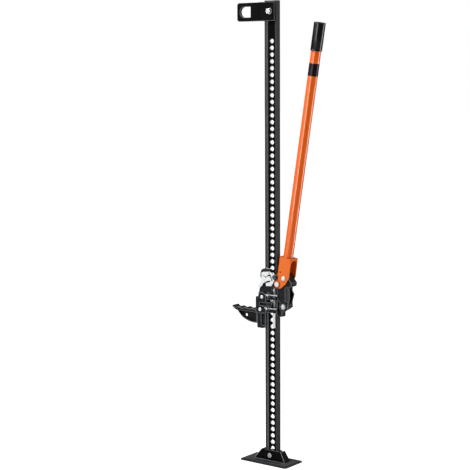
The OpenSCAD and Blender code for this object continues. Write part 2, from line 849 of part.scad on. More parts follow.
module climbing_pin(z, out) {
    translate([0, -out, z]) difference() {
        union() {
            rod_y(0, 0, pin_d / 2, -shoulder_y, tip_y - tip_bevel);
            translate([0, tip_y - tip_bevel, 0]) rotate([-90, 0, 0])
                cylinder(r1 = pin_d / 2, r2 = pin_d / 2 - tip_bevel, h = tip_bevel);
            rod_y(0, 0, tail_d / 2, -tail_end, -shoulder_y + over);
        }
        translate([-pin_d, -cross_y, 0]) rotate([0, 90, 0]) cylinder(d = cross_d, h = 2 * pin_d);
    }
}

module cross_pin(z, out) {
    translate([-cross_left, -cross_y - out, z]) rotate([0, 90, 0])
        cylinder(d = cross_d, h = cross_left + cross_right);
}

module climbing_pin_upper() {
    color(zinc) climbing_pin(pin_z, 0);
}

module cross_pin_upper() {
    color(zinc) cross_pin(pin_z, 0);
}

module climbing_pin_lower() {
    color(zinc) climbing_pin(low_pin_z, pin_travel);
}

module cross_pin_lower() {
    color(zinc) cross_pin(low_pin_z, pin_travel);
}

// Small runner
small_left = 13;
wrap_t = 5.6;
wrap_right = pocket_half_w + wrap_t;
wrap_up = 26;
wrap_down = 26;
tenon_half_d = runner_half_d - link_cheek - side_gap;
slot_r = link_pin_d / 2 + wander_up;
tenon_wall = 3;
tenon_end = lower_x + wander_out + slot_r + tenon_wall;
tenon_top = lower_z + link_ring_r;
tenon_drop = 28;
tenon_step = 10;
tenon_low = low_pin_z - tenon_drop;

module small_runner() {
    color(cast_black) difference() {
        union() {
            slab(-small_wall_d, -pocket_half_d) polygon([
                [-small_left, low_pin_z - small_h / 2], [wrap_right, low_pin_z - small_h / 2],
                [wrap_right, low_pin_z], [cheek_edge, low_pin_z],
                [cheek_edge, low_pin_z + small_h / 2], [-small_left, low_pin_z + small_h / 2]
            ]);
            slab(-runner_half_d, runner_half_d) polygon([
                [pocket_half_w, low_pin_z - wrap_down], [wrap_right, low_pin_z - wrap_down],
                [wrap_right, low_pin_z + wrap_up], [pocket_half_w, low_pin_z + wrap_up]
            ]);
            slab(pocket_half_d, runner_half_d) polygon([
                [-small_left, low_pin_z - small_h / 2], [wrap_right, low_pin_z - small_h / 2],
                [wrap_right, low_pin_z + small_h / 2], [-small_left, low_pin_z + small_h / 2]
            ]);
            slab(-tenon_half_d, tenon_half_d) polygon([
                [pocket_half_w, tenon_low], [lower_x - tenon_step, tenon_low],
                [lower_x - tenon_step, lower_z - link_ring_r - tenon_wall],
                [lower_x + wander_out, lower_z - slot_r - tenon_wall],
                [tenon_end, lower_z - tenon_wall], [tenon_end, lower_z + slot_r],
                [lower_x + link_ring_r / 2, tenon_top],
                [pocket_half_w, tenon_top]
            ]);
            pin_housing(low_pin_z);
        }
        pin_bores(low_pin_z);
        rail_groove(low_pin_z - runner_drop, low_pin_z + runner_drop);
        rod_y(lower_x - wander_in, lower_z, slot_r, -bar_w, bar_w);
        rod_y(lower_x + wander_out, lower_z, slot_r, -bar_w, bar_w);
        block(
            [lower_x - wander_in, -bar_w, lower_z - slot_r],
            [lower_x + wander_out, bar_w, lower_z + slot_r]
        );
    }
}

// Handle, drawn upright from its pivot and leant
module leaning() {
    translate([pivot_x, 0, pivot_z]) rotate([0, lean, 0]) children();
}

foot_shares = [[1, 1], [1.03, 0.33], [0.84, 0.096], [0.385, -0.117]];
side_hole_shares = [0.369, 0.461];
socket_hole_r = 2.6;
web_start = 33;
roof_h = roof_t + socket_half_d;
weld_w = 1.8;
weld_h = 4;
tube_start = socket_len - tube_seat;

relief_gap = 3;
relief_at = [
    (lever_x - pivot_x) * cos(lean) - (lever_z - pivot_z) * sin(lean),
    (lever_x - pivot_x) * sin(lean) + (lever_z - pivot_z) * cos(lean)
];

module socket_outline() {
    difference() {
        union() {
            polygon(concat(
                [[-socket_left, web_start], [-socket_left, socket_len]],
                spread(foot_shares, socket_w - socket_left, socket_len)
            ));
            polygon(concat(
                [
                    [0, -socket_foot_r], [-socket_foot_r, 0], [-socket_left, web_start],
                    [socket_foot_r, web_start]
                ],
                spread([foot_shares[3]], socket_w - socket_left, socket_len)
            ));
            circle(socket_foot_r);
        }
        translate(relief_at) circle(hub_r + relief_gap);
    }
}

// A plan of the socket with two rounded corners, open to the right
module socket_plan(half, r) {
    left = -socket_left + socket_bend_r;
    translate([left, -half]) square([socket_w, 2 * half]);
    translate([left - r, -half + r]) square([socket_w, 2 * (half - r)]);
    for (side = [-1, 1]) translate([left, side * (half - r)]) circle(r);
}

module socket_shell() {
    intersection() {
        slab(-socket_outer_d, socket_outer_d) socket_outline();
        translate([0, 0, web_start]) linear_extrude(socket_len) difference() {
            socket_plan(socket_outer_d, socket_bend_r);
            socket_plan(socket_half_d, socket_bend_r - socket_t);
        }
    }
    for (side = [-1, 1]) translate([0, side * (socket_half_d + socket_t / 2), 0])
        slab(-socket_t / 2, socket_t / 2) intersection() {
            socket_outline();
            translate([-socket_w, -socket_w]) square([2 * socket_w, socket_w + web_start]);
        }
}

module socket_roof() {
    difference() {
        intersection() {
            slab(-socket_half_d - over, socket_half_d + over) socket_outline();
            translate([-socket_left + socket_t / 2, -socket_w, socket_len - roof_h])
                cube([socket_w, 2 * socket_w, roof_h]);
        }
        translate([-socket_w, 0, socket_len - roof_h]) rotate([0, 90, 0])
            cylinder(r = socket_half_d, h = 3 * socket_w);
    }
}

module handle_socket() {
    color(orange_paint) leaning() difference() {
        union() {
            socket_shell();
            socket_roof();
            translate([axis_out, 0, socket_len])
                cylinder(r1 = tube_d / 2 + weld_w, r2 = tube_d / 2 + pin_gap, h = weld_h);
        }
        translate([axis_out, 0, tube_start]) cylinder(d = tube_d, h = handle_len);
        rod_y(0, 0, pivot_d / 2 + pin_gap, -bar_w, bar_w);
        rod_y(link_side, link_rise, link_pin_d / 2 + pin_gap, -bar_w, bar_w);
        rod_y(side_hole_shares[0] * axis_out, side_hole_shares[1] * socket_len, socket_hole_r, -bar_w, bar_w);
    }
}

cap_t = 3;
tube_top = handle_len - cap_t;
band_low = handle_len - grip_len - band_gap - band_len;

module handle_tube() {
    color(orange_paint) leaning() translate([axis_out, 0, tube_start]) difference() {
        cylinder(d = tube_d, h = tube_top - tube_start);
        translate([0, 0, -over]) cylinder(d = tube_d - 2 * tube_wall, h = handle_len);
    }
}

module handle_grip() {
    color(rubber) leaning() translate([axis_out, 0, handle_len - grip_len]) difference() {
        cylinder(d = tube_d + 2 * grip_t, h = grip_len);
        translate([0, 0, -over]) cylinder(d = tube_d, h = grip_len - cap_t + over);
    }
}

module handle_band() {
    color(band_dark) leaning() translate([axis_out, 0, band_low]) difference() {
        cylinder(d = tube_d + 2 * band_t, h = band_len);
        translate([0, 0, -over]) cylinder(d = tube_d, h = band_len + 2 * over);
    }
}

// Link between the handle socket and the small runner
clip_t = 1.5;
clip_w = 2.5;
clip_r = link_pin_d / 2 + clip_w;
ring_face = runner_half_d + link_raise;
pin_stub = 1.5;

module clip(x, z, y0) {
    difference() {
        rod_y(x, z, clip_r, y0, y0 + clip_t);
        rod_y(x, z, link_pin_d / 2 + pin_gap, y0 - over, y0 + clip_t + over);
    }
}

module link_upper_pin() {
    reach = socket_outer_d + clip_t + pin_stub;
    color(zinc) rod_y(upper_x, upper_z, link_pin_d / 2, -reach, reach);
}

module link_upper_clips() {
    color(zinc) {
        clip(upper_x, upper_z, -socket_outer_d - clip_t);
        clip(upper_x, upper_z, socket_outer_d);
    }
}

module link_lower_pin() {
    reach = ring_face + clip_t + pin_stub;
    color(zinc) rod_y(lower_x, lower_z, link_pin_d / 2, -reach, reach);
}

module link_lower_clips() {
    color(zinc) {
        clip(lower_x, lower_z, -ring_face - clip_t);
        clip(lower_x, lower_z, ring_face);
    }
}

link_back_shares = [
    [0.9, 0.08], [2.05, -0.1], [2.4, -0.14], [2.25, -0.26], [0.97, -0.33], [0.9, -0.43], [1.58, -0.575],
    [1.28, -0.68], [0.95, -0.84]
];
link_face_shares = [[0.9, 0.08], [2.05, -0.1], [1.5, -0.3], [1.62, -0.58], [1.5, -0.8], [1.2, -0.9]];
link_front_shares = [
    [-1.45, -0.88], [-1.75, -0.8], [-2.3, -0.78], [-2.3, -0.42], [-1.5, -0.36], [-0.95, -0.28],
    [-0.8, -0.2], [-0.85, 0.05]
];
link_len = upper_z - lower_z;
web_shares = [[0, -0.76], [0.55, -0.76], [0.55, -0.2], [0, -0.2]];
horn_shares = [[0.9, 0.08], [2.05, -0.1], [2.4, -0.14], [2.25, -0.26], [1.3, -0.31], [0, -0.2]];
ribs = [[-1, 1.05, 0.42, -0.82, -0.3], [-1, 0.35, 0.16, -0.8, -0.3], [1, 0.3, 0.42, -0.8, -0.3]];
rear_flat_turn = 30;
rear_flat_out = 10;
ring_share = 0.66;

module link_outline(edge_shares) {
    polygon(concat(
        spread(edge_shares, link_eye_r, link_len, upper_x, upper_z),
        [[lower_x + link_ring_r - over, lower_z], [lower_x - link_ring_r + over, lower_z]],
        spread(link_front_shares, link_eye_r, link_len, upper_x, upper_z)
    ));
    translate([upper_x, upper_z]) circle(link_eye_r);
    translate([lower_x, lower_z]) circle(link_ring_r);
}

// A rounded rib up the face of a cheek: its place and half width, its foot and its top
module link_rib(side, at, half, low, top) {
    h = (top - low) * link_len;
    w = half * link_eye_r;
    translate([upper_x + at * link_eye_r, side * (runner_half_d - w / 2), upper_z + low * link_len])
        scale([1, (w / 2 + link_raise) / w, 1]) cylinder(r = w, h = h);
}

module link() {
    color(cast_black) difference() {
        union() {
            for (side = [-1, 1]) {
                translate([0, side * (runner_half_d - link_cheek / 2), 0])
                    slab(-link_cheek / 2, link_cheek / 2)
                        link_outline(side < 0 ? link_face_shares : link_back_shares);
                translate([0, side * (ring_face - link_cheek / 2), 0])
                    rod_y(lower_x, lower_z, ring_share * link_ring_r, -link_cheek / 2, link_cheek / 2);
            }
            for (rib = ribs) link_rib(rib[0], rib[1], rib[2], rib[3], rib[4]);
            rod_y(upper_x, upper_z, link_eye_r, -runner_half_d, runner_half_d);
            slab(-runner_half_d, runner_half_d)
                polygon(spread(horn_shares, link_eye_r, link_len, upper_x, upper_z));
            slab(-runner_half_d + over, runner_half_d - over)
                polygon(spread(web_shares, link_eye_r, link_len, upper_x, upper_z));
        }
        translate([lower_x, 0, lower_z]) rotate([0, -rear_flat_turn, 0])
            block([-2 * link_ring_r, 0, -2 * link_ring_r], [2 * link_ring_r, bar_w, -rear_flat_out]);
        rod_y(upper_x, upper_z, link_pin_d / 2 + pin_gap, -bar_w, bar_w);
        rod_y(lower_x, lower_z, link_pin_d / 2 + pin_gap, -bar_w, bar_w);
    }
}

// Reversing lever
lever_gap = 1.5;
lever_y = runner_half_d + lever_gap;
lever_corner_shares = [-0.9596, -0.59];
lever_left_x = lever_x + lever_corner_shares[0] * lever_w;
lever_low_z = lever_z + lever_corner_shares[1] * lever_h;
lever_shares = [
    [0.169, 0.532], [0.176, 0.835], [0.203, 0.892], [0.257, 0.942], [0.45, 1], [0.689, 0.971],
    [0.954, 0.892], [0.96, 0.86], [0.815, 0.84], [0.812, 0.7], [0.97, 0.62], [0.932, 0.48], [0.824, 0.273],
    [0.743, 0.137], [0.446, 0.115], [0.422, 0.256], [0.52, 0.319], [0.624, 0.354], [0.696, 0.353],
    [0.696, 0.393], [0.619, 0.393], [0.507, 0.357], [0.403, 0.292], [0.307, 0.213], [0.216, 0.108],
    [0.135, 0.043], [0, 0], [0.04, 0.144], [0.122, 0.259], [0.189, 0.345]
];
window_shares = [
    [0.48, 0.561], [0.601, 0.691], [0.696, 0.683], [0.804, 0.396], [0.77, 0.381], [0.649, 0.626],
    [0.554, 0.604]
];
hub_r = 8;
lever_hex_share = 2.1;

module lever_screw() {
    color(zinc) union() {
        rod_y(lever_x, lever_z, lever_screw_d / 2, -lever_y - lever_t - over, -half_d - slide_gap);
        hex_y(
            lever_x, lever_z, lever_hex_share * lever_screw_d,
            -lever_y - lever_t - seat_gap - lever_hex_t, -lever_y - lever_t - seat_gap
        );
    }
}

module reversing_lever() {
    color(zinc) difference() {
        union() {
            slab(-lever_y - lever_t, -lever_y) difference() {
                polygon(spread(lever_shares, lever_w, lever_h, lever_left_x, lever_low_z));
                polygon(spread(window_shares, lever_w, lever_h, lever_left_x, lever_low_z));
            }
            rod_y(lever_x, lever_z, hub_r, -lever_y - lever_t, -lever_y);
        }
        rod_y(lever_x, lever_z, lever_screw_d / 2 + pin_gap, -bar_w, 0);
    }
}

standard_bar();
foot_plate();
foot_socket();
foot_bolt();
foot_nut();
clamp_plate_front();
clamp_plate_rear();
clamp_bolt();
clamp_nut();
clamp_washers();
large_runner();
lifting_nose();
nose_pins();
trip_rail();
rail_rivets();
handle_pivot_bolt();
handle_pivot_nut();
lever_screw();
pin_spring_upper();
climbing_pin_upper();
cross_pin_upper();
small_runner();
pin_spring_lower();
climbing_pin_lower();
cross_pin_lower();
handle_socket();
handle_tube();
handle_grip();
handle_band();
link_upper_pin();
link_upper_clips();
link();
link_lower_pin();
link_lower_clips();
reversing_lever();
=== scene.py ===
"""Dresses a high lift jack: rounded castings, turned fasteners, paint, plating, studio and camera."""
import logging
import math
from dataclasses import dataclass, field
from enum import Enum, IntEnum

import bpy
from mathutils import Matrix, Vector


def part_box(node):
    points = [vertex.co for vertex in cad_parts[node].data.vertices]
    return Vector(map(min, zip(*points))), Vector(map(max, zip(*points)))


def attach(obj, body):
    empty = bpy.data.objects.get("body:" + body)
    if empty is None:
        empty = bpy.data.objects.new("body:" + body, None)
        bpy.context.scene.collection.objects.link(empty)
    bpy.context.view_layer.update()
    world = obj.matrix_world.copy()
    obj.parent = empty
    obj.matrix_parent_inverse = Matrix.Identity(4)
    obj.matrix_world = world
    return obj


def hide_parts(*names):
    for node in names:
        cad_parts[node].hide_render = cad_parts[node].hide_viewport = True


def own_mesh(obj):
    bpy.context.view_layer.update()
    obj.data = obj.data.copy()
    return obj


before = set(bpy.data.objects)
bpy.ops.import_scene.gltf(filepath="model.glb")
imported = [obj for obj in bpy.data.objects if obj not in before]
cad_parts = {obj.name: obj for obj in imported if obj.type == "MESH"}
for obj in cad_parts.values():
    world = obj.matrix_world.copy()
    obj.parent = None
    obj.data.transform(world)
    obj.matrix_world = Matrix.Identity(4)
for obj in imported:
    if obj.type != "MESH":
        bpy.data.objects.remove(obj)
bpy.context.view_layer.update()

MM = 0.001
FULL_TURN = 2 * math.pi
# Share of a face's normal along an axis from which the face counts as facing that way.
FACING = 0.5
# Edges sharper than this many degrees are rounded.
SHARP = 35
# Size of a casting's new faces in millimetres, and the share of them that stays.
CAST_VOXEL = 0.65
CAST_KEEP = 0.5
# Pointiness where the painted edge highlight begins and where it is at full tone.
EDGE_BEGINS = 0.502
EDGE_FULL_HIGHLIGHT = 0.54
# Open share of a surface's surroundings above which no shade is painted on it.
OPEN = 0.97
LOG = logging.getLogger("jack")

Colour = tuple[float, float, float, float]
Point = tuple[float, float, float]
Profile = list[tuple[float, float]]


def linear(hex_colour: str) -> Colour:
    """Turns an sRGB hex colour to the linear colour that a shader takes.

    Args:
        hex_colour: Six hex digits after a hash sign.

    Returns:
        Red, green, blue and an alpha of one.
    """
    shares = [int(hex_colour[i:i + 2], 16) / 255 for i in (1, 3, 5)]
    red, green, blue = [c / 12.92 if c <= 0.04045 else ((c + 0.055) / 1.055) ** 2.4 for c in shares]
    return red, green, blue, 1.0


def add_node(tree: bpy.types.NodeTree, kind: str, settings: dict | None = None,
             links: dict | None = None) -> bpy.types.Node:
    """Adds a shader node with its settings and links.

    Args:
        tree: The node tree that takes it.
        kind: The node's type.
        settings: Values by the name or number of an input, or by the name of a property.
        links: Output sockets by the name or number of the input that each goes to.

    Returns:
        The new node.
    """
    node = tree.nodes.new(kind)
    for key, value in (settings or {}).items():
        if isinstance(key, int) or key in node.inputs:
            node.inputs[key].default_value = value
        else:
            setattr(node, key, value)
    for key, socket in (links or {}).items():
        tree.links.new(socket, node.inputs[key])
    return node


class Slot(Enum):
    """The record's material slots."""

    BAR_PAINT = "bar_paint"
    CAST_BLACK = "cast_black"
    ZINC = "zinc"
    ORANGE_PAINT = "orange_paint"
    GRIP_RUBBER = "grip_rubber"
    BAND_FILM = "band_film"


class Relief(Enum):
    """How a surface's small relief is drawn."""

    PEEL = "peel"
    SAND = "sand"
    DRAWN = "drawn"
    PEBBLE = "pebble"


class BarFace(IntEnum):
    """Material index of each kind of face on the bar."""

    COAT = 0
    CHANNEL = 1
    HOLE = 2
    FLANK = 3


@dataclass(frozen=True)
class Finish:
    """A surface finish.

    It has two tones in patches, its gloss, and the size and depth of its relief in millimetres. Shade
    is painted into hollows: the painted shade floor is what is left of the tone in the deepest ones, reach
    is how far in millimetres a surface looks for its neighbours, and hollow is the open share where the
    painted shade is deepest. An edge highlight tone paints a pale highlight along sharp edges.
    """

    name: str
    slot: Slot
    tone: str
    second_tone: str
    patch: float
    metallic: float
    roughness: float
    roughness_swing: float
    relief: Relief
    grain: float
    depth: float
    specular: float = 0.5
    coat: float = 0.0
    coat_roughness: float = 0.1
    painted_shade_floor: float = 0.4
    reach: float = 9.0
    hollow: float = 0.4
    edge_highlight_tone: str = ""

    def grain_height(self, tree: bpy.types.NodeTree, place: bpy.types.NodeSocket) -> bpy.types.NodeSocket:
        """Draws the relief.

        Args:
            tree: The material's node tree.
            place: The Object coordinates.

        Returns:
            The socket that carries the height, from 0 to 1.
        """
        scale = 1 / (self.grain * MM)
        if self.relief is Relief.SAND:
            coarse = add_node(tree, "ShaderNodeTexNoise", {"Scale": scale / 3, "Detail": 3.0},
                              {"Vector": place})
            fine = add_node(tree, "ShaderNodeTexVoronoi", {"Scale": scale}, {"Vector": place})
            both = add_node(tree, "ShaderNodeMix", {0: 0.35},
                            {2: coarse.outputs["Fac"], 3: fine.outputs["Distance"]})
            return both.outputs[0]
        if self.relief is Relief.PEBBLE:
            fine = add_node(tree, "ShaderNodeTexVoronoi", {"Scale": scale, "feature": "SMOOTH_F1"},
                            {"Vector": place})
            return fine.outputs["Distance"]
        stretch = (1.0, 1.0, 0.12) if self.relief is Relief.DRAWN else (1.0, 1.0, 1.0)
        stretched = add_node(tree, "ShaderNodeMapping", {"Scale": stretch}, {"Vector": place})
        noise = add_node(tree, "ShaderNodeTexNoise", {"Scale": scale, "Detail": 2.0},
                         {"Vector": stretched.outputs["Vector"]})
        return noise.outputs["Fac"]

    def material(self) -> bpy.types.Material:
        """Builds the material, or hands back the one already built.

        Returns:
            The material.
        """
        made = bpy.data.materials.get(self.name)
        if made:
            return made
        made = bpy.data.materials.new(self.name)
        made.use_nodes = True
        tree = made.node_tree
        tree.nodes.clear()
        place = add_node(tree, "ShaderNodeTexCoord").outputs["Object"]
        patches = add_node(tree, "ShaderNodeTexNoise", {"Scale": 1 / (self.patch * MM), "Detail": 4.0},
                           {"Vector": place})
        share = add_node(tree, "ShaderNodeMapRange", {"From Min": 0.35, "From Max": 0.65},
                         {"Value": patches.outputs["Fac"]})
        colour = add_node(tree, "ShaderNodeMix",
                          {"data_type": "RGBA", 6: linear(self.tone), 7: linear(self.second_tone)},
                          {0: share.outputs["Result"]})
        # Painted highlight: along sharp edges, by their pointiness, the tone pales to the edge highlight
        # tone.
        edge_highlight_share = share
        if self.edge_highlight_tone:
            geometry = add_node(tree, "ShaderNodeNewGeometry")
            edge_highlight_share = add_node(tree, "ShaderNodeMapRange", {"From Min": EDGE_BEGINS, "From Max": EDGE_FULL_HIGHLIGHT},
                            {"Value": geometry.outputs["Pointiness"]})
        edge_highlighted = add_node(tree, "ShaderNodeMix",
                          {"data_type": "RGBA", 7: linear(self.edge_highlight_tone or self.tone)},
                          {0: edge_highlight_share.outputs["Result"], 6: colour.outputs[2]})
        # Painted shade: the tone darkens where a surface's surroundings close in, in hollows and between
        # parts.
        around = add_node(tree, "ShaderNodeAmbientOcclusion",
                          {"Distance": self.reach * MM, "samples": 8})
        shade = add_node(tree, "ShaderNodeMapRange",
                         {"From Min": self.hollow, "From Max": OPEN, "To Min": self.painted_shade_floor},
                         {"Value": around.outputs["AO"]})
        shaded = add_node(tree, "ShaderNodeMix",
                          {"data_type": "RGBA", "blend_type": "MULTIPLY", 0: 1.0},
                          {6: edge_highlighted.outputs[2], 7: shade.outputs["Result"]})
        gloss = add_node(tree, "ShaderNodeMapRange",
                         {"To Min": self.roughness - self.roughness_swing,
                          "To Max": self.roughness + self.roughness_swing},
                         {"Value": patches.outputs["Fac"]})
        bump = add_node(tree, "ShaderNodeBump", {"Strength": 1.0, "Distance": self.depth * MM},
                        {"Height": self.grain_height(tree, place)})
        shader = add_node(tree, "ShaderNodeBsdfPrincipled",
                          {"Metallic": self.metallic, "Specular IOR Level": self.specular,
                           "Coat Weight": self.coat, "Coat Roughness": self.coat_roughness},
                          {"Base Color": shaded.outputs[2], "Roughness": gloss.outputs["Result"],
                           "Normal": bump.outputs["Normal"]})
        add_node(tree, "ShaderNodeOutputMaterial", {}, {"Surface": shader.outputs["BSDF"]})
        return made


# Satin black powder coat on rolled steel. It gives a dark grey sheen with a faint speckle; the
# speckle of the real coat is finer than a pixel, so it is drawn at 3 mm.
BAR_COAT = Finish("black_powder_coat", Slot.BAR_PAINT, "#303133", "#3b3c3e", 9.0, 0.0, 0.5, 0.05,
                  Relief.PEEL, 3.0, 0.06, specular=0.1)
# The same coat on the foot's plate, lit on top. Painted shade turns it black next to the shoe.
FOOT_COAT = Finish("black_coat_on_foot", Slot.BAR_PAINT, "#404143", "#505153", 12.0, 0.0, 0.5, 0.05,
                   Relief.PEEL, 3.0, 0.06, specular=0.05, painted_shade_floor=0.0, reach=26.0, hollow=0.7)
# The same coat, thinner and smoother, on the pressed plates. It is darker and flatter.
PRESSED_COAT = Finish("black_coat_on_pressings", Slot.BAR_PAINT, "#050505", "#0d0d0e", 12.0, 0.0, 0.5,
                      0.05, Relief.PEEL, 3.0, 0.06, specular=0.05)
# Painted highlight: the same coat, pale along the pressings' rounded edges. It draws a pale line round each
# plate.
EDGE_HIGHLIGHT_COAT = Finish("painted_edge_highlight", Slot.BAR_PAINT, "#7c7e82", "#8e9094", 6.0, 0.0, 0.4, 0.05,
                     Relief.DRAWN, 3.0, 0.05, specular=0.2, painted_shade_floor=0.7)
# Painted light: the same coat on the flanges' inner faces, pale grey as if lit.
LIT_FLANK_COAT = Finish("painted_light_on_flanks", Slot.BAR_PAINT, "#8a8c8e", "#989a9c", 9.0, 0.0, 0.4, 0.05,
                     Relief.DRAWN, 3.0, 0.05, specular=0.2, painted_shade_floor=1.0)
# Painted shade: the same coat made near black and matt inside the bar's channel and down the foot's sides,
# where shade falls. It also draws the lever's sheets of painted shade.
PAINTED_SHADE_COAT = Finish("painted_shade_black", Slot.BAR_PAINT, "#040404", "#080808", 9.0, 0.0, 0.8, 0.05,
                      Relief.PEEL, 3.0, 0.05, specular=0.05)
# Punched steel, bare and bright where the punch sheared the coat off.
PUNCHED_STEEL = Finish("bare_punched_steel", Slot.BAR_PAINT, "#d9dadc", "#c3c5c8", 4.0, 1.0, 0.35, 0.06,
                       Relief.DRAWN, 1.0, 0.03)
# Black paint over sand-cast iron. The sand's grain breaks the highlights up; a grey painted highlight lines
# its edges, and painted shade turns its hollows black.
CAST_COAT = Finish("painted_sand_casting", Slot.CAST_BLACK, "#141516", "#222325", 14.0, 0.0, 0.42, 0.07,
                   Relief.SAND, 1.8, 0.2, specular=0.1, painted_shade_floor=0.0, edge_highlight_tone="#8a8c8f")
# Bright zinc plating, dipped and blued. It looks almost white where it faces the light.
ZINC_PLATE = Finish("bright_zinc_plating", Slot.ZINC, "#f2f3f4", "#e3e5e8", 11.0, 1.0, 0.3, 0.06,
                    Relief.DRAWN, 1.2, 0.02)
# The same plating on the two bolts, rubbed dull by the spanner.
WORN_ZINC = Finish("rubbed_zinc_plating", Slot.ZINC, "#c6c8ca", "#a9acb0", 7.0, 1.0, 0.38, 0.06,
                   Relief.DRAWN, 1.2, 0.04)
# Zinc with a dark chromate, as on the lever's nut. It gives a bluish grey metal.
DARK_ZINC = Finish("dark_chromated_zinc", Slot.ZINC, "#4a515e", "#5f6774", 8.0, 1.0, 0.36, 0.05,
                   Relief.DRAWN, 1.2, 0.03)
# Painted shade on zinc: near black where the lever's fold, crease and seam look dark, with paler patches of
# painted highlight.
LEVER_SHADE_ZINC = Finish("painted_shade_on_lever_zinc", Slot.ZINC, "#0e0e10", "#77797d", 3.5, 1.0, 0.42, 0.05,
                       Relief.DRAWN, 1.2, 0.05)
# Plain steel of the cross pins and the rail's upper end, oiled. It is greyer than the plating.
OILED_STEEL = Finish("oiled_turned_steel", Slot.ZINC, "#8c8f94", "#abaeb3", 4.0, 1.0, 0.36, 0.05,
                     Relief.DRAWN, 1.0, 0.03)
# Phosphated spring steel, wound cold. It gives a dark wire with a soft sheen.
SPRING_STEEL = Finish("phosphated_spring_steel", Slot.ZINC, "#7c7f84", "#94979b", 5.0, 1.0, 0.34, 0.05,
                      Relief.DRAWN, 0.8, 0.02)
# Orange gloss powder coat. Two long highlights run up the tube beside a deeper middle.
ORANGE_COAT = Finish("orange_powder_coat", Slot.ORANGE_PAINT, "#e66000", "#ec6600", 30.0, 0.0, 0.2, 0.03,
                     Relief.PEEL, 2.5, 0.01, specular=0.2, coat=1.0, coat_roughness=0.1)
# The same coat on the pressed socket, laid on thicker. It reads flatter and less glossy.
SOCKET_COAT = Finish("orange_coat_on_socket", Slot.ORANGE_PAINT, "#da620c", "#e26c10", 22.0, 0.0, 0.4, 0.04,
                     Relief.PEEL, 3.0, 0.03, specular=0.1, coat=0.6, coat_roughness=0.2, painted_shade_floor=0.1)
# Moulded rubber of the grip, semi-matt, with the fine pebble of its mould.
GRIP_RUBBER = Finish("moulded_rubber", Slot.GRIP_RUBBER, "#020202", "#050505", 12.0, 0.0, 0.24, 0.04,
                     Relief.PEBBLE, 1.6, 0.012, specular=0.42)
# Printed vinyl film, dark with a red cast, satin.
BAND_FILM = Finish("vinyl_film", Slot.BAND_FILM, "#10060c", "#34131d", 16.0, 0.0, 0.28, 0.04,
                   Relief.PEEL, 3.0, 0.01, specular=0.2)


def deselect() -> None:
    """Leaves object mode with nothing selected."""
    if bpy.context.object and bpy.context.object.mode != "OBJECT":
        bpy.ops.object.mode_set(mode="OBJECT")
    bpy.ops.object.select_all(action="DESELECT")


def pick(piece: bpy.types.Object) -> None:
    """Makes one piece the selected and active one.

    Args:
        piece: The piece.
    """
    deselect()
    piece.select_set(True)
    bpy.context.view_layer.objects.active = piece


def copy_of(node: str, name: str) -> bpy.types.Object:
    """Copies a CAD node with its own mesh, and joins its triangles to clean faces.

    Args:
        node: The CAD node's name.
        name: The new piece's name.

    Returns:
        The new piece.
    """
    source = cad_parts[node]
    piece = bpy.data.objects.new(name, source.data.copy())
    bpy.context.scene.collection.objects.link(piece)
    pick(piece)
    bpy.ops.object.mode_set(mode="EDIT")
    bpy.ops.mesh.select_all(action="SELECT")
    bpy.ops.mesh.remove_doubles(threshold=0.01 * MM)
    bpy.ops.mesh.dissolve_limited(angle_limit=math.radians(0.5))
    bpy.ops.object.mode_set(mode="OBJECT")
    return piece


def apply(piece: bpy.types.Object, kind: str, settings: dict) -> None:
    """Adds a modifier with its settings and applies it.

    Args:
        piece: The piece.
        kind: The modifier's type.
        settings: Values by the modifier's property names.
    """
    pick(piece)
    modifier = piece.modifiers.new(kind.lower(), kind)
    for key, value in settings.items():
        setattr(modifier, key, value)
    bpy.ops.object.modifier_apply(modifier=modifier.name)


def smooth(piece: bpy.types.Object, degrees: float = SHARP) -> None:
    """Shades a piece smooth, apart from edges sharper than an angle."""
    pick(piece)
    bpy.ops.object.shade_smooth_by_angle(angle=math.radians(degrees))


def round_edges(piece: bpy.types.Object, width: float, segments: int = 2, rounding_index: int = -1) -> None:
    """Rounds a piece's sharp edges and evens out its shading.

    Args:
        piece: The piece.
        width: Width of the rounding in millimetres.
        segments: Faces across the rounding.
        rounding_index: Material index of the rounding's faces, or minus one for their neighbours'.
    """
    smooth(piece)
    apply(piece, "BEVEL", {"width": width * MM, "segments": segments, "limit_method": "ANGLE",
                           "angle_limit": math.radians(SHARP), "use_clamp_overlap": True,
                           "harden_normals": False, "material": rounding_index})
    smooth(piece, 50)
    apply(piece, "WEIGHTED_NORMAL", {"keep_sharp": True, "weight": 50})


def soften_casting(piece: bpy.types.Object, passes: int) -> None:
    """Gives a casting the rounded edges and corners that its mould leaves.

    Args:
        piece: The piece.
        passes: How often the mesh is smoothed.
    """
    apply(piece, "REMESH", {"mode": "VOXEL", "voxel_size": CAST_VOXEL * MM, "use_smooth_shade": True})
    apply(piece, "SMOOTH", {"factor": 0.5, "iterations": passes})
    apply(piece, "DECIMATE", {"decimate_type": "COLLAPSE", "ratio": CAST_KEEP})
    smooth(piece, 40)


def cut(piece: bpy.types.Object, point: Vector, normal: Vector) -> None:
    """Cuts a piece's faces along a plane, and keeps both sides.

    Args:
        piece: The piece.
        point: A point on the plane, in millimetres.
        normal: The plane's normal.
    """
    pick(piece)
    bpy.ops.object.mode_set(mode="EDIT")
    bpy.ops.mesh.select_all(action="SELECT")
    bpy.ops.mesh.bisect(plane_co=point * MM, plane_no=normal)
    bpy.ops.object.mode_set(mode="OBJECT")


def close_normals(piece: bpy.types.Object) -> None:
    """Merges doubles and points every face outwards.

    Args:
        piece: The piece.
    """
    pick(piece)
    bpy.ops.object.mode_set(mode="EDIT")
    bpy.ops.mesh.select_all(action="SELECT")
    bpy.ops.mesh.remove_doubles(threshold=0.005 * MM)
    bpy.ops.mesh.normals_make_consistent(inside=False)
    bpy.ops.object.mode_set(mode="OBJECT")


def settle(piece: bpy.types.Object) -> None:
    """Puts a piece's place, turn and scale into its mesh."""
    pick(piece)
    bpy.ops.object.transform_apply(location=True, rotation=True, scale=True)


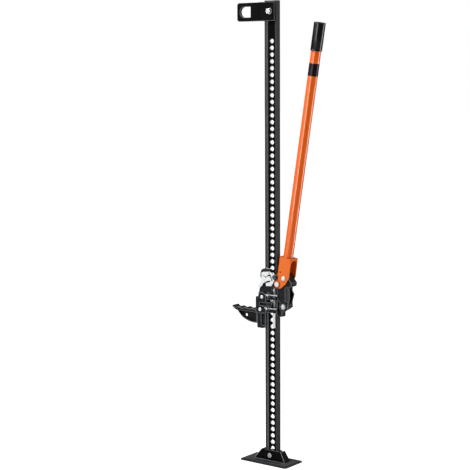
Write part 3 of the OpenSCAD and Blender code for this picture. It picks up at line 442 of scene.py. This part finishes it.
def turned(name: str, start: Vector, axis: Vector, profile: Profile, sides: int = 32,
           spin: float = 0.0) -> bpy.types.Object:
    """Turns a piece from a circle that is extruded and resized along an axis.

    Args:
        name: The piece's name.
        start: A point on the axis, in millimetres.
        axis: The axis.
        profile: Distance along the axis and radius of each step, in millimetres.
        sides: Number of sides, six for a hexagon.
        spin: Turn about the axis, in radians.

    Returns:
        The closed piece, in its place.
    """
    along = axis.normalized()
    turn = along.to_track_quat("Z", "Y") @ Matrix.Rotation(spin, 3, "Z").to_quaternion()
    deselect()
    reached, radius = profile[0]
    bpy.ops.mesh.primitive_circle_add(vertices=sides, radius=radius * MM, fill_type="NGON",
                                      location=(start + along * reached) * MM, rotation=turn.to_euler())
    piece = bpy.context.object
    piece.name = name
    bpy.ops.object.mode_set(mode="EDIT")
    bpy.ops.mesh.select_all(action="SELECT")
    for distance, wanted in profile[1:]:
        bpy.ops.mesh.extrude_region_move(
            TRANSFORM_OT_translate={"value": along * (distance - reached) * MM, "orient_type": "GLOBAL"})
        share = wanted / radius
        bpy.ops.transform.resize(value=(share, share, share),
                                 center_override=(start + along * distance) * MM)
        reached, radius = distance, wanted
    bpy.ops.mesh.select_all(action="SELECT")
    bpy.ops.mesh.normals_make_consistent(inside=False)
    bpy.ops.object.mode_set(mode="OBJECT")
    settle(piece)
    return piece


def join(pieces: list[bpy.types.Object], name: str) -> bpy.types.Object:
    """Joins pieces to one.

    Args:
        pieces: The pieces.
        name: The joined piece's name.

    Returns:
        The joined piece.
    """
    deselect()
    for piece in pieces:
        piece.select_set(True)
    bpy.context.view_layer.objects.active = pieces[0]
    bpy.ops.object.join()
    pieces[0].name = name
    return pieces[0]


def thread(first: float, last: float, crest: float, pitch: float) -> Profile:
    """Steps of a thread, for a turned piece.

    Args:
        first: Where the thread starts along the axis, in millimetres.
        last: Where it ends.
        crest: Its outer radius.
        pitch: Distance from one crest to the next.

    Returns:
        Distances and radii.
    """
    # Shares of the pitch: the thread's depth, where its root and its crest lie, and the end's chamfer.
    depth, root_at, crest_at, chamfer = 0.55, 0.15, 0.65, 0.2
    root = crest - depth * pitch
    turns = max(1, int((last - first) / pitch))
    steps = []
    for i in range(turns):
        steps += [(first + (i + root_at) * pitch, root), (first + (i + crest_at) * pitch, crest)]
    return steps + [(last - chamfer * pitch, crest), (last, root)]


@dataclass
class SubAssembly:
    """Pieces that belong together, with what they share. Their sizes are in millimetres."""

    made: list[str] = field(default_factory=list)

    def keep(self, piece: bpy.types.Object, finish: Finish, body: str, *nodes: str,
             extra: tuple[Finish, ...] = ()) -> bpy.types.Object:
        """Gives a piece its finish, its body and the nodes that it stands for.

        Args:
            piece: The finished piece.
            finish: Its finish.
            body: The CAD body that carries it.
            nodes: The CAD nodes that it replaces.
            extra: Further finishes, by the material index of the faces that take them.

        Returns:
            The same piece.
        """
        indices = [face.material_index for face in piece.data.polygons]
        piece.data.materials.clear()
        for each in (finish, *extra):
            piece.data.materials.append(each.material())
        if extra:
            piece.data.polygons.foreach_set("material_index", indices)
        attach(piece, body)
        if nodes:
            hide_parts(*nodes)
        self.made.append(piece.name)
        return piece

    def plate(self, node: str, finish: Finish, body: str, width: float, segments: int = 2,
              edge: Finish | None = None) -> None:
        """Replaces a node by a copy with rounded edges.

        Args:
            node: The CAD node.
            finish: Its finish.
            body: The CAD body that carries it.
            width: Width of the rounding in millimetres.
            segments: Faces across the rounding.
            edge: The rounding's own finish, where it differs.
        """
        piece = copy_of(node, node + "_finished")
        if edge:
            for each in (finish, edge):
                piece.data.materials.append(each.material())
            piece.data.polygons.foreach_set("material_index", [0] * len(piece.data.polygons))
        round_edges(piece, width, segments, 1 if edge else -1)
        self.keep(piece, finish, body, node, extra=(edge,) if edge else ())

    def casting(self, node: str, body: str, passes: int) -> None:
        """Replaces a node by a copy that is rounded as a casting.

        Args:
            node: The CAD node.
            body: The CAD body that carries it.
            passes: How often the mesh is smoothed.
        """
        piece = copy_of(node, node + "_cast")
        soften_casting(piece, passes)
        self.keep(piece, CAST_COAT, body, node)

    def build(self) -> None:
        """Builds every piece."""
        raise NotImplementedError


@dataclass(frozen=True)
class Bolt:
    """A bolt across the bar, with its sizes in millimetres.

    Face is the distance from the bar's mid-plane to the faces that head and nut bear on, hex_r is half
    the hexagon's width across corners, hex_t its height and spin its turn.
    """

    node: str
    z: float
    face: float
    hex_r: float
    hex_t: float
    spin: float
    front_head: bool


@dataclass
class Column(SubAssembly):
    """The pierced bar, its foot and the clamp at its top."""

    foot_bolt: Bolt = Bolt("foot_bolt", 24.0, 16.25, 9.0, 5.5, math.radians(20), True)
    clamp_bolt: Bolt = Bolt("clamp_bolt", 1506.25, 16.25, 8.75, 9.0, 0.0, False)
    bolt_r: float = 5.0
    pitch: float = 1.5
    hex_chamfer: float = 0.1
    hex_crown: float = 0.86
    hole_r: float = 7.5
    hole_slack: float = 1.05
    channel_y: float = 6.5
    flange_t: float = 3.2
    lit_flank_from: float = 12.0
    flank: float = 0.6
    shoe_low_w: float = 128.0
    shoe_top_w: float = 82.0
    shoe_shift: float = 4.5
    shoe_flange_t: float = 2.0
    rim_t: float = 1.0
    rim_w: float = 2.2

    def bolt(self, size: Bolt) -> None:
        """Makes a bolt with a chamfered hexagon head and a thread that stands past its nut.

        Args:
            size: The bolt's sizes.
        """
        name = size.node + "_turned"
        axis = Vector((0, 1.0 if size.front_head else -1.0, 0))
        start = Vector((0, 0, size.z))
        low = -size.face - size.hex_t
        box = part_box(size.node)
        reach = (box[1].y if size.front_head else -box[0].y) / MM
        head = turned(name + "_head", start, axis,
                      [(low, self.hex_crown * size.hex_r), (low + self.hex_chamfer * size.hex_t, size.hex_r),
                       (-size.face, size.hex_r)], 6, size.spin)
        round_edges(head, 0.35)
        # The shank starts inside the head and its thread starts inside the nut.
        plain_end = size.face + size.hex_t - 2
        shank = turned(name + "_shank", start, axis,
                       [(-size.face - 1, self.bolt_r), (plain_end, self.bolt_r)]
                       + thread(plain_end, reach, self.bolt_r, self.pitch))
        smooth(shank)
        self.keep(join([head, shank], name), WORN_ZINC, "foot_and_bar", size.node)

    def bar(self) -> bpy.types.Object:
        """Copies the bar and tells apart its coated faces, its channel in painted shade, its holes, and its
        flanks in painted light.

        Returns:
            The bar, with a material index on every face.
        """
        piece = copy_of("standard_bar", "bar_finished")
        round_edges(piece, 0.7)
        low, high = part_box("standard_bar")
        inner_w = (high.x - low.x) / 2 - self.flange_t * MM
        for y in (-self.channel_y, self.channel_y):
            cut(piece, Vector((0, y, 0)), Vector((0, 1, 0)))
        for face in piece.data.polygons:
            across = abs(face.center.x)
            inside = across < inner_w and abs(face.center.y) < self.channel_y * MM
            # Painted shade: the faces inside the channel take the near-black shade coat.
            if inside:
                face.material_index = BarFace.CHANNEL
            # Painted light: the flanges' inner faces take a pale grey as if lit.
            if abs(face.normal.x) > self.flank and self.lit_flank_from * MM < across < inner_w:
                face.material_index = BarFace.FLANK
            if inside and abs(face.normal.y) < FACING and across < self.hole_r * self.hole_slack * MM:
                face.material_index = BarFace.HOLE
        return piece

    def foot(self) -> bpy.types.Object:
        """Copies the foot's plate and tells its top from its sides, which take painted black shade.

        Returns:
            The plate, with a material index on every face.
        """
        piece = copy_of("foot_plate", "foot_plate_finished")
        round_edges(piece, 1.0)
        for face in piece.data.polygons:
            # Painted shade: every face that does not face up takes the black shade coat.
            face.material_index = int(face.normal.z < FACING)
        return piece

    def shoe(self) -> bpy.types.Object:
        """Copies the shoe and tells the rims of its pressed sheet, which carry a painted highlight, from its
        faces.

        Returns:
            The shoe, with a material index on every face.
        """
        piece = copy_of("foot_socket", "foot_socket_finished")
        round_edges(piece, 0.8)
        low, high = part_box("foot_socket")
        flange_top = low.z + self.shoe_flange_t * MM
        ends = []
        for side in (-1, 1):
            run = self.shoe_low_w / 2 - side * self.shoe_shift - self.shoe_top_w / 2
            normal = Vector((side * (high.z - low.z) / MM, 0, run)).normalized()
            point = Vector((side * self.shoe_top_w / 2, 0, high.z / MM)) - normal * self.rim_w
            ends.append((point, normal))
            cut(piece, point, normal)
        # Painted highlight: the rims of the sheet and the ends of its front take the pale edge coat.
        for face in piece.data.polygons:
            place = face.center
            rim = place.z < flange_top or place.z > high.z - self.rim_t * MM
            front = abs(face.normal.y) > FACING and place.z > flange_top
            end = front and any((place / MM - point).dot(normal) > 0 for point, normal in ends)
            face.material_index = int(rim or end)
        return piece

    def build(self) -> None:
        """Builds the column."""
        body = "foot_and_bar"
        self.keep(self.bar(), BAR_COAT, body, "standard_bar",
                  extra=(PAINTED_SHADE_COAT, PUNCHED_STEEL, LIT_FLANK_COAT))
        self.keep(self.foot(), FOOT_COAT, body, "foot_plate", extra=(PAINTED_SHADE_COAT,))
        self.keep(self.shoe(), PRESSED_COAT, body, "foot_socket", extra=(EDGE_HIGHLIGHT_COAT,))
        for node in ("clamp_plate_front", "clamp_plate_rear"):
            self.plate(node, PRESSED_COAT, body, 1.0, edge=EDGE_HIGHLIGHT_COAT)
        self.plate("clamp_washers", ZINC_PLATE, body, 0.3)
        for node in ("foot_nut", "clamp_nut"):
            self.plate(node, ZINC_PLATE, body, 0.6)
        for size in (self.foot_bolt, self.clamp_bolt):
            self.bolt(size)


@dataclass
class Carriage(SubAssembly):
    """The large runner with its nose, rail and pivots."""

    dull_above: float = 515.0

    def build(self) -> None:
        """Builds the carriage."""
        body = "carriage"
        self.casting("large_runner", body, 2)
        self.casting("lifting_nose", body, 3)
        for node in ("nose_pins", "rail_rivets", "handle_pivot_bolt", "handle_pivot_nut"):
            self.plate(node, ZINC_PLATE, body, 0.7)
        rail = copy_of("trip_rail", "trip_rail_finished")
        round_edges(rail, 0.6)
        cut(rail, Vector((0, 0, self.dull_above)), Vector((0, 0, 1)))
        for face in rail.data.polygons:
            face.material_index = int(face.center.z > self.dull_above * MM)
        self.keep(rail, ZINC_PLATE, body, "trip_rail", extra=(OILED_STEEL,))
        self.plate("lever_screw", DARK_ZINC, body, 0.7)


@dataclass
class ClimbingPins(SubAssembly):
    """The two climbing pins with their cross pins and springs."""

    spring_seat_y: float = -21.8
    upper_z: float = 574.0
    lower_z: float = 530.0
    spring_len: float = 13.8
    travel: float = 6.0
    coil_r: float = 5.2
    wire_r: float = 0.6
    turns: int = 3
    steps_per_turn: int = 28

    def spring(self, name: str, z: float, length: float) -> bpy.types.Object:
        """Winds a spring from a circle by a screw.

        Args:
            name: The piece's name.
            z: Height of its axis in millimetres.
            length: Its length.

        Returns:
            The spring, in its place.
        """
        deselect()
        bpy.ops.mesh.primitive_circle_add(vertices=10, radius=self.wire_r * MM,
                                          rotation=(math.pi / 2, 0, 0))
        piece = bpy.context.object
        piece.name = name
        settle(piece)
        bpy.ops.object.mode_set(mode="EDIT")
        bpy.ops.mesh.select_all(action="SELECT")
        bpy.ops.transform.translate(value=(self.coil_r * MM, 0, 0))
        bpy.ops.object.mode_set(mode="OBJECT")
        rise = (length - 2 * self.wire_r) / self.turns * MM
        apply(piece, "SCREW", {"angle": FULL_TURN, "screw_offset": rise, "iterations": self.turns,
                               "steps": self.steps_per_turn, "render_steps": self.steps_per_turn,
                               "use_merge_vertices": True})
        bpy.ops.object.mode_set(mode="EDIT")
        bpy.ops.mesh.select_all(action="DESELECT")
        bpy.ops.mesh.select_non_manifold()
        bpy.ops.mesh.edge_face_add()
        bpy.ops.object.mode_set(mode="OBJECT")
        piece.rotation_euler = (-math.pi / 2, 0, 0)
        piece.location = Vector((0, self.spring_seat_y + self.wire_r, z)) * MM
        settle(piece)
        close_normals(piece)
        smooth(piece)
        return piece

    def build(self) -> None:
        """Builds the pins and their springs."""
        for side, body in (("upper", "upper_pin"), ("lower", "lower_pin")):
            self.plate("climbing_pin_" + side, ZINC_PLATE, body, 0.5)
            self.plate("cross_pin_" + side, OILED_STEEL, body, 0.6)
        upper = self.spring("spring_upper_wound", self.upper_z, self.spring_len)
        self.keep(upper, SPRING_STEEL, "carriage", "pin_spring_upper")
        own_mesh(upper)
        lower = self.spring("spring_lower_wound", self.lower_z, self.spring_len - self.travel)
        self.keep(lower, SPRING_STEEL, "small_carriage", "pin_spring_lower")


@dataclass
class SmallCarriage(SubAssembly):
    """The small runner."""

    def build(self) -> None:
        """Builds the small carriage."""
        self.casting("small_runner", "small_carriage", 2)


@dataclass
class Handle(SubAssembly):
    """The handle socket, its tube, the grip and the band, with the link's upper pin."""

    pivot: Vector = field(default_factory=lambda: Vector((33.5, 0, 612.5)))
    lean: float = math.radians(9.2)
    axis_out: float = 15.0
    socket_len: float = 94.0
    tube_r: float = 16.5
    length: float = 867.0
    grip_len: float = 91.0
    grip_t: float = 2.6
    bead_out: float = 0.9
    bead_r: float = 1.5
    ripple: float = 0.25

    def on_axis(self, up: float) -> Vector:
        """A point on the tube's axis, by its distance from the pivot along the handle."""
        side = Vector((math.cos(self.lean), 0, -math.sin(self.lean)))
        return self.pivot + side * self.axis_out + self.along() * up

    def along(self) -> Vector:
        """The direction of the tube."""
        return Vector((math.sin(self.lean), 0, math.cos(self.lean)))

    def weld(self) -> bpy.types.Object:
        """Lays the rippled bead that joins the tube to the socket.

        Returns:
            The bead.
        """
        deselect()
        turn = self.along().to_track_quat("Z", "Y").to_euler()
        bpy.ops.mesh.primitive_torus_add(location=self.on_axis(self.socket_len + 1.0) * MM, rotation=turn,
                                         major_segments=72, minor_segments=10,
                                         major_radius=(self.tube_r + self.bead_out) * MM,
                                         minor_radius=self.bead_r * MM)
        bead = bpy.context.object
        bead.name = "socket_weld"
        bpy.ops.object.mode_set(mode="EDIT")
        bpy.ops.mesh.select_all(action="SELECT")
        bpy.ops.transform.vertex_random(offset=self.ripple * MM, seed=7)
        bpy.ops.mesh.vertices_smooth(factor=0.3)
        bpy.ops.object.mode_set(mode="OBJECT")
        settle(bead)
        smooth(bead, 60)
        return bead

    def grip(self) -> bpy.types.Object:
        """Turns the rubber grip with its lip and rounded top.

        Returns:
            The grip.
        """
        r = self.tube_r + self.grip_t
        n = self.grip_len
        lip = [(0.0, r - 0.9), (0.4, r - 0.2), (1.2, r), (4.2, r), (4.8, r - 0.5), (6.4, r - 0.5),
               (7.0, r - 0.1)]
        top = [(n - 2.4, r), (n - 1.0, r - 0.3), (n - 0.3, r - 0.9), (n, r - 2.0)]
        grip = turned("grip_moulded", self.on_axis(self.length - n), self.along(), lip + top, 64)
        smooth(grip, 40)
        return grip

    def build(self) -> None:
        """Builds the handle."""
        self.plate("handle_socket", SOCKET_COAT, "handle", 1.2, 3)
        self.plate("handle_tube", ORANGE_COAT, "handle", 0.4)
        self.keep(self.weld(), ORANGE_COAT, "handle")
        self.keep(self.grip(), GRIP_RUBBER, "handle", "handle_grip")
        self.plate("handle_band", BAND_FILM, "handle", 0.1)
        self.plate("link_upper_pin", ZINC_PLATE, "handle", 0.9)
        self.plate("link_upper_clips", ZINC_PLATE, "handle", 0.3)


@dataclass
class Linkage(SubAssembly):
    """The link and its lower pin."""

    def build(self) -> None:
        """Builds the link."""
        self.casting("link", "link", 2)
        self.plate("link_lower_pin", ZINC_PLATE, "link", 0.9)
        self.plate("link_lower_clips", ZINC_PLATE, "link", 0.3)


@dataclass
class ReversingLever(SubAssembly):
    """The reversing lever: its pressed plate, with thin sheets of painted shade on its front where its
    folded top, crease and edges look dark.
    """

    front_y: float = -21.0
    sunk: float = 0.3

    def band(self, name: str, outline: Profile, depth: float, finish: Finish) -> None:
        """Lays a thin sheet of painted shade on the lever's front.

        Args:
            name: The sheet's name.
            outline: Its corners across and up, in millimetres.
            depth: How far it stands proud of the plate.
            finish: Its finish.
        """
        deselect()
        bpy.ops.mesh.primitive_circle_add(vertices=len(outline), radius=MM, fill_type="NGON",
                                          rotation=(math.pi / 2, 0, 0))
        piece = bpy.context.object
        piece.name = name
        settle(piece)
        for vertex, (across, up) in zip(piece.data.vertices, outline):
            vertex.co = Vector((across, self.front_y + self.sunk, up)) * MM
        pick(piece)
        bpy.ops.object.mode_set(mode="EDIT")
        bpy.ops.mesh.select_all(action="SELECT")
        bpy.ops.mesh.extrude_region_move(
            TRANSFORM_OT_translate={"value": (0, -(self.sunk + depth) * MM, 0)})
        bpy.ops.object.mode_set(mode="OBJECT")
        close_normals(piece)
        round_edges(piece, 0.15, 1)
        self.keep(piece, finish, "lever")

    def build(self) -> None:
        """Builds the lever."""
        self.plate("reversing_lever", ZINC_PLATE, "lever", 0.5)
        # Sheets of painted shade: near black where the fold, crease and seam look dark, and black for the
        # shade right of the plate, along its lower arc and down its left edge.
        self.band("lever_fold_painted_shade",
                  [(-33.3, 646.0), (-33.2, 652.0), (-31.2, 655.8), (-27.1, 659.2), (-12.7, 663.1),
                   (5.0, 661.1), (24.3, 655.8), (24.6, 654.1), (13.8, 652.8), (9.0, 650.5), (4.0, 652.6),
                   (-9.0, 651.0), (-25.0, 649.4), (-29.5, 646.5)], 0.6, LEVER_SHADE_ZINC)
        self.band("lever_crease_painted_shade",
                  [(-25.6, 639.2), (-24.6, 637.2), (-14.2, 630.0), (-10.2, 632.8), (-3.0, 638.6),
                   (-4.0, 640.0), (-14.0, 632.6)], 0.4, LEVER_SHADE_ZINC)
        self.band("lever_seam_painted_shade", [(-0.9, 640.5), (0.6, 640.5), (0.6, 651.5), (-0.9, 651.5)],
                  0.4, LEVER_SHADE_ZINC)
        self.band("lever_shade", [(4.0, 651.0), (12.0, 649.0), (24.0, 652.0), (24.6, 656.5), (6.0, 661.8)],
                  0.7, PAINTED_SHADE_COAT)
        self.band("lever_arc_painted_shade",
                  [(-27.0, 604.0), (-24.0, 611.0), (-12.0, 617.0), (1.0, 620.0), (4.0, 619.0),
                   (1.0, 616.5), (-11.0, 613.5), (-20.0, 608.5), (-23.0, 603.5)], 0.4, PAINTED_SHADE_COAT)
        self.band("lever_edge_painted_shade", [(-35.6, 630.0), (-32.2, 630.0), (-32.2, 650.0), (-35.0, 648.5)],
                  0.7, PAINTED_SHADE_COAT)


@dataclass(frozen=True)
class Lamp:
    """A soft rectangular lamp: its place and aim in metres, its width and height, and its watts."""

    name: str
    at: Point
    aim: Point
    size: tuple[float, float]
    power: float

    def hang(self) -> None:
        """Hangs the lamp and turns it to its aim."""
        light = bpy.data.lights.new(self.name, "AREA")
        light.shape = "RECTANGLE"
        light.size, light.size_y = self.size
        light.energy = self.power
        lamp = bpy.data.objects.new(self.name, light)
        lamp.location = self.at
        lamp.rotation_euler = (Vector(self.aim) - Vector(self.at)).to_track_quat("-Z", "Y").to_euler()
        bpy.context.scene.collection.objects.link(lamp)


@dataclass
class Studio:
    """The floor, the lights and the camera."""

    camera_at: Point = (2.62651, -3.63502, 1.32330)
    camera_turn: Point = (83.0019, 0.30889, 37.41158)
    lens: float = 104.193
    floor_w: float = 60.0
    floor_drop: float = 0.0004
    floor_tone: str = "#b8b8b8"
    floor_second_tone: str = "#c4c4c4"
    floor_patch: float = 25.0
    floor_glow: float = 0.97
    lit: float = 0.22
    mirrored: float = 0.26
    lamps: tuple[Lamp, ...] = (
        Lamp("left_strip", (-2.0, -2.8, 1.5), (0, 0, 0.8), (0.9, 2.7), 16),
        Lamp("front_softbox", (-0.25, -3.4, 1.35), (0, 0, 0.9), (0.75, 2.6), 62),
        Lamp("right_strip", (1.4, 0.95, 1.1), (0, 0, 1.1), (0.4, 2.1), 24),
        Lamp("top_softbox", (-1.3, -1.3, 3.3), (0, 0, 0.6), (1.2, 1.2), 75))

    def floor(self) -> None:
        """Lays a white floor that keeps the jack's shadow."""
        deselect()
        bpy.ops.mesh.primitive_plane_add(size=self.floor_w, location=(0, 0, -self.floor_drop))
        plane = bpy.context.object
        plane.name = "studio_floor"
        made = bpy.data.materials.new("matt_paper")
        made.use_nodes = True
        tree = made.node_tree
        tree.nodes.clear()
        rays = add_node(tree, "ShaderNodeLightPath")
        grain = add_node(tree, "ShaderNodeTexNoise", {"Scale": 1 / (self.floor_patch * MM)})
        tone = add_node(tree, "ShaderNodeMix",
                        {"data_type": "RGBA", 6: linear(self.floor_tone),
                         7: linear(self.floor_second_tone)},
                        {0: grain.outputs["Fac"]})
        paper = add_node(tree, "ShaderNodeBsdfDiffuse", {}, {"Color": tone.outputs[2]})
        lift = add_node(tree, "ShaderNodeMath", {"operation": "MULTIPLY", 1: self.floor_glow},
                        {0: rays.outputs["Is Camera Ray"]})
        glow = add_node(tree, "ShaderNodeEmission", {"Color": linear("#ffffff")},
                        {"Strength": lift.outputs[0]})
        both = add_node(tree, "ShaderNodeAddShader", {}, {0: paper.outputs[0], 1: glow.outputs[0]})
        add_node(tree, "ShaderNodeOutputMaterial", {}, {"Surface": both.outputs[0]})
        plane.data.materials.append(made)

    def world(self) -> None:
        """Sets a surround that is white where it is seen, and dim where it is mirrored or lights."""
        world = bpy.data.worlds.new("white_surround")
        bpy.context.scene.world = world
        world.use_nodes = True
        tree = world.node_tree
        tree.nodes.clear()
        rays = add_node(tree, "ShaderNodeLightPath")
        shown = add_node(tree, "ShaderNodeMath", {"operation": "MAXIMUM"},
                         {0: rays.outputs["Is Glossy Ray"], 1: rays.outputs["Is Transmission Ray"]})
        dim = add_node(tree, "ShaderNodeMapRange", {"To Min": self.lit, "To Max": self.mirrored},
                       {"Value": shown.outputs[0]})
        level = add_node(tree, "ShaderNodeMath", {"operation": "MAXIMUM"},
                         {0: dim.outputs["Result"], 1: rays.outputs["Is Camera Ray"]})
        surround = add_node(tree, "ShaderNodeBackground", {"Color": linear("#ffffff")},
                            {"Strength": level.outputs[0]})
        add_node(tree, "ShaderNodeOutputWorld", {}, {"Surface": surround.outputs[0]})

    def camera(self) -> None:
        """Stands the camera where the photograph was taken from."""
        eye = bpy.data.cameras.new("camera")
        eye.sensor_width = 36
        eye.lens = self.lens
        eye.clip_end = 100
        stand = bpy.data.objects.new("camera", eye)
        stand.location = self.camera_at
        stand.rotation_euler = [math.radians(a) for a in self.camera_turn]
        bpy.context.scene.collection.objects.link(stand)
        bpy.context.scene.camera = stand

    def build(self) -> None:
        """Sets the studio up."""
        self.floor()
        self.world()
        for lamp in self.lamps:
            lamp.hang()
        self.camera()
        bpy.context.scene.view_settings.view_transform = "Standard"


def main() -> None:
    """Builds the jack and its studio."""
    logging.basicConfig(level=logging.INFO, format="%(name)s: %(message)s")
    units: list[SubAssembly] = [Column(), Carriage(), ClimbingPins(), SmallCarriage(), Handle(),
                                Linkage(), ReversingLever()]
    for unit in units:
        unit.build()
        for name in unit.made:
            faces = len(bpy.data.objects[name].data.polygons)
            LOG.info("%s: %s, %d faces", type(unit).__name__, name, faces)
    Studio().build()


if __name__ == "__main__":
    main()
